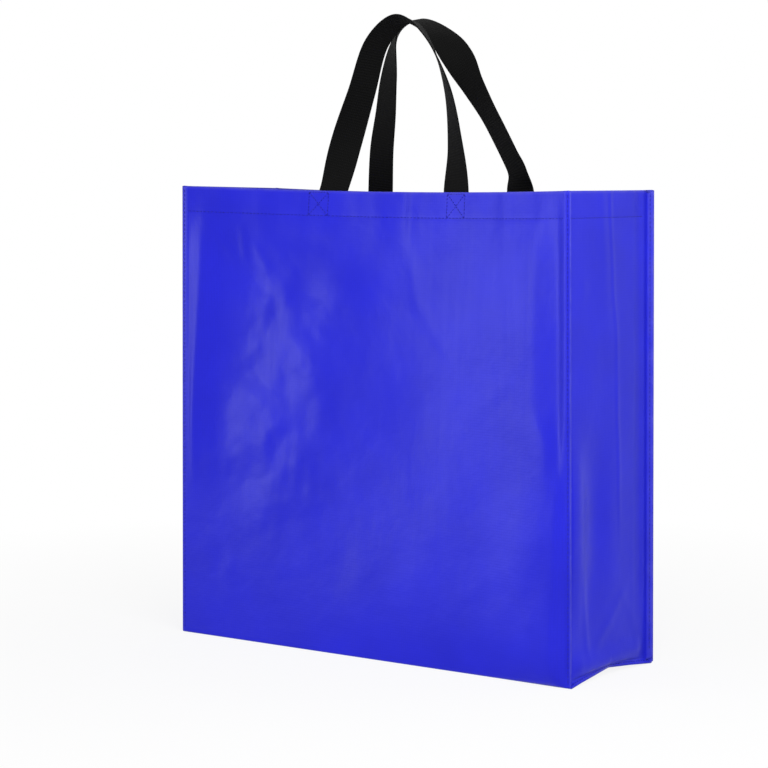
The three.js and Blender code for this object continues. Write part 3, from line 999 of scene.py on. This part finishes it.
def studio_floor():
    """White seamless paper, lit to white, that keeps a faint shadow of the bag."""
    material, tree = new_material("white_paper_sweep")
    place = add_node(tree, "TexCoord").outputs["Object"]
    away = add_node(tree, "VectorMath", {0: place}, operation="LENGTH").outputs["Value"]
    lit = add_node(tree, "MapRange", {"Value": away, "From Min": 0.25, "From Max": 0.9, "To Min": 0.88})
    share = add_node(tree, "Math", {0: seen_rays(tree), 1: lit.outputs["Result"]}, operation="MULTIPLY")
    paper = add_node(tree, "BsdfDiffuse", {"Color": (0.92, 0.92, 0.92, 1)})
    glow = add_node(tree, "Emission", {"Strength": 1.0})
    layers = {0: share.outputs[0], 1: paper.outputs["BSDF"], 2: glow.outputs["Emission"]}
    mixed = add_node(tree, "MixShader", layers)
    add_node(tree, "OutputMaterial", {"Surface": mixed.outputs["Shader"]})
    return material


# The studio, in metres. Softboxes: name, place, width, height, and how many times as bright as white
SOFTBOXES = [
    ("softbox_left", (-1.596, -1.514, 0.33), 0.74, 0.62, 8.8),
    ("softbox_right", (1.780, 1.293, 0.80), 0.60, 1.40, 1.0),
    ("softbox_key", (0.78, -0.60, 0.90), 0.60, 0.60, 8.2),
]
LAMP_AIM = Vector((0, 0, 0.3))
FILL = 0.395  # strength of the light from all round
FLOOR_REACH = 30
CAMERA_TURN = math.radians(36.17)  # round to the right of the front
CAMERA_TILT = math.radians(5.46)  # downwards
CAMERA_DISTANCE = 2.441
CAMERA_ASIDE = -25.5  # of the point it looks at, to the right of the middle, in millimetres
CAMERA_HEIGHT = 259.3  # of that point, in millimetres
CAMERA_LENS = 117.66  # in millimetres, as the sensor
CAMERA_SENSOR = 36


def length_property(name, description, default):
    return bpy.props.FloatProperty(name=name, description=description, default=default, unit="LENGTH")


def colour_property(name, description, colour):
    return bpy.props.FloatVectorProperty(
        name=name, description=description, default=linear(colour), subtype="COLOR"
    )


class CarrierBagSizes(bpy.types.PropertyGroup):
    """Sizes of the bag"""

    width: length_property("Width", "Between the two side seams at the base", 0.450)
    depth: length_property("Depth", "Between the front and back folds of the base", 0.145)
    height: length_property("Height", "From the floor to the rim", 0.450)
    hem: length_property("Hem", "Depth of the hem that is turned in at the rim", 0.026)
    seam_fin: length_property("Seam Fin", "Seam allowance that stands proud of each seam", 0.006)
    sheet_thickness: length_property("Sheet Thickness", "Thickness of the laminated sheet", 0.0003)
    webbing_width: length_property("Webbing Width", "Width of the handle webbing", 0.030)
    webbing_thickness: length_property("Webbing Thickness", "Thickness of the handle webbing", 0.0012)
    crumple: bpy.props.FloatProperty(
        name="Crumple",
        description="How crumpled the sheet is",
        default=1.0,
        min=0.0,
        max=2.0,
        subtype="FACTOR",
    )


class CarrierBagFinishes(bpy.types.PropertyGroup):
    """Colours of the bag"""

    sheet: colour_property("Sheet", "Laminated outside of the sheet", "#2629cf")
    sheet_inside: colour_property("Sheet Inside", "Bare woven inside of the sheet", "#2c2fc4")
    webbing: colour_property("Webbing", "Handle webbing", "#080808")
    thread: colour_property("Thread", "Sewing thread", "#12128c")


class CARRIERBAG_OT_stage(bpy.types.Operator):
    """Add the floor, the soft lights, the white backdrop and the camera"""

    bl_idname = "carrier_bag.stage"
    bl_label = "Studio"

    def execute(self, context):
        scene = context.scene
        scene.view_settings.view_transform = "Standard"
        bm = bmesh.new()
        bmesh.ops.create_grid(bm, x_segments=1, y_segments=1, size=FLOOR_REACH)
        floor = finished("studio_floor", bm)
        floor.data.materials.append(studio_floor())
        floor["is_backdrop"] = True
        world = bpy.data.worlds.new("white_studio")
        world.use_nodes = True
        tree = world.node_tree
        tree.nodes.clear()
        white = (1, 1, 1, 1)
        fill = add_node(tree, "Background", {"Color": white, "Strength": FILL})
        backdrop = add_node(tree, "Background", {"Color": white, "Strength": 1.0})
        parts = {1: fill.outputs["Background"], 2: backdrop.outputs["Background"]}
        both = add_node(tree, "MixShader", {0: seen_rays(tree), **parts})
        add_node(tree, "OutputWorld", {"Surface": both.outputs["Shader"]})
        scene.world = world
        for softbox in SOFTBOXES:
            self.softbox(*softbox)
        camera = bpy.data.cameras.new("camera")
        camera.sensor_width = CAMERA_SENSOR
        camera.lens = CAMERA_LENS
        holder = bpy.data.objects.new("camera", camera)
        scene.collection.objects.link(holder)
        right, away = math.cos(CAMERA_TURN), math.sin(CAMERA_TURN)
        level = math.cos(CAMERA_TILT)
        ahead = Vector((-away * level, right * level, -math.sin(CAMERA_TILT)))
        target = Vector((right, away, 0)) * CAMERA_ASIDE * MM + Vector((0, 0, CAMERA_HEIGHT * MM))
        holder.location = target - ahead * CAMERA_DISTANCE
        holder.rotation_euler = ahead.to_track_quat("-Z", "Y").to_euler()
        scene.camera = holder
        return {"FINISHED"}

    def softbox(self, name, place, width, height, brightness):
        """A soft light that faces the middle of the bag."""
        lamp = bpy.data.lights.new(name, "AREA")
        lamp.shape = "RECTANGLE"
        lamp.size = width
        lamp.size_y = height
        lamp.energy = brightness * math.pi * width * height
        holder = bpy.data.objects.new(name, lamp)
        bpy.context.scene.collection.objects.link(holder)
        holder.location = place
        holder.rotation_euler = (LAMP_AIM - Vector(place)).to_track_quat("-Z", "Y").to_euler()


class CARRIERBAG_OT_sheets(bpy.types.Operator):
    """Make the folded body sheet and the two gussets"""

    bl_idname = "carrier_bag.sheets"
    bl_label = "Body and Gussets"

    def execute(self, context):
        sizes, finishes = context.scene.carrier_bag_sizes, context.scene.carrier_bag_finishes
        bag = BagShape(sizes)
        outside = laminated_sheet("laminated_woven_polypropylene", tuple(finishes.sheet), 0.33, 1.0, 0.11)
        inside = laminated_sheet("bare_woven_polypropylene", tuple(finishes.sheet_inside), 0.62, 3.0, 0.2)
        made = [("body_panel", *body_panel(bag))]
        for node, side in (("left_gusset", LEFT), ("right_gusset", RIGHT)):
            made.append((node, *gusset_panel(bag, node + "_sheet", side)))
        for node, piece, flat in made:
            piece.data.materials.append(outside)
            piece.data.materials.append(inside)
            thicken(piece, sizes.sheet_thickness, 1)
            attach(piece, "root")
            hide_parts(node)
        return {"FINISHED"}


class CARRIERBAG_OT_handles(bpy.types.Operator):
    """Make the two webbing handles"""

    bl_idname = "carrier_bag.handles"
    bl_label = "Handles"

    def execute(self, context):
        sizes, finishes = context.scene.carrier_bag_sizes, context.scene.carrier_bag_finishes
        bag = BagShape(sizes)
        webbing = black_webbing(tuple(finishes.webbing))
        for node, side in (("front_handle", FRONT), ("back_handle", BACK)):
            piece, flat = webbing_loop(bag, node + "_webbing", side)
            piece.data.materials.append(webbing)
            thicken(piece, sizes.webbing_thickness, 0)
            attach(piece, "root")
            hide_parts(node)
        return {"FINISHED"}


class CARRIERBAG_OT_stitching(bpy.types.Operator):
    """Sew the hem, the handle feet and the seams"""

    bl_idname = "carrier_bag.stitching"
    bl_label = "Stitching"

    def execute(self, context):
        bag = BagShape(context.scene.carrier_bag_sizes)
        thread = sewing_thread(tuple(context.scene.carrier_bag_finishes.thread))
        for piece in (hem_stitching(bag), handle_stitching(bag), seam_stitching(bag)):
            piece.data.materials.append(thread)
            piece.data.shade_smooth()
            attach(piece, "root")
        return {"FINISHED"}


class CARRIERBAG_PT_panel(bpy.types.Panel):
    """Sizes, colours and steps of the bag"""

    bl_idname = "CARRIERBAG_PT_panel"
    bl_label = "Carrier Bag"
    bl_space_type = "VIEW_3D"
    bl_region_type = "UI"
    bl_category = "Carrier Bag"

    def draw(self, context):
        layout = self.layout
        for group in (context.scene.carrier_bag_sizes, context.scene.carrier_bag_finishes):
            for name in group.__annotations__:
                layout.prop(group, name)
        for step in STEPS:
            layout.operator(step.bl_idname)


STEPS = (CARRIERBAG_OT_stage, CARRIERBAG_OT_sheets, CARRIERBAG_OT_handles, CARRIERBAG_OT_stitching)
CLASSES = (CarrierBagSizes, CarrierBagFinishes, *STEPS, CARRIERBAG_PT_panel)


def register():
    for each in CLASSES:
        bpy.utils.register_class(each)
    bpy.types.Scene.carrier_bag_sizes = bpy.props.PointerProperty(type=CarrierBagSizes)
    bpy.types.Scene.carrier_bag_finishes = bpy.props.PointerProperty(type=CarrierBagFinishes)


def unregister():
    del bpy.types.Scene.carrier_bag_finishes
    del bpy.types.Scene.carrier_bag_sizes
    for each in reversed(CLASSES):
        bpy.utils.unregister_class(each)


def main():
    register()
    bpy.ops.carrier_bag.stage()
    bpy.ops.carrier_bag.sheets()
    bpy.ops.carrier_bag.handles()
    bpy.ops.carrier_bag.stitching()
    boxes = {"cad": CAD_BOX, "visual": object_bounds()}
    lists = {name: [[float(value) for value in corner] for corner in box] for name, box in boxes.items()}


if __name__ == "__main__":
    main()
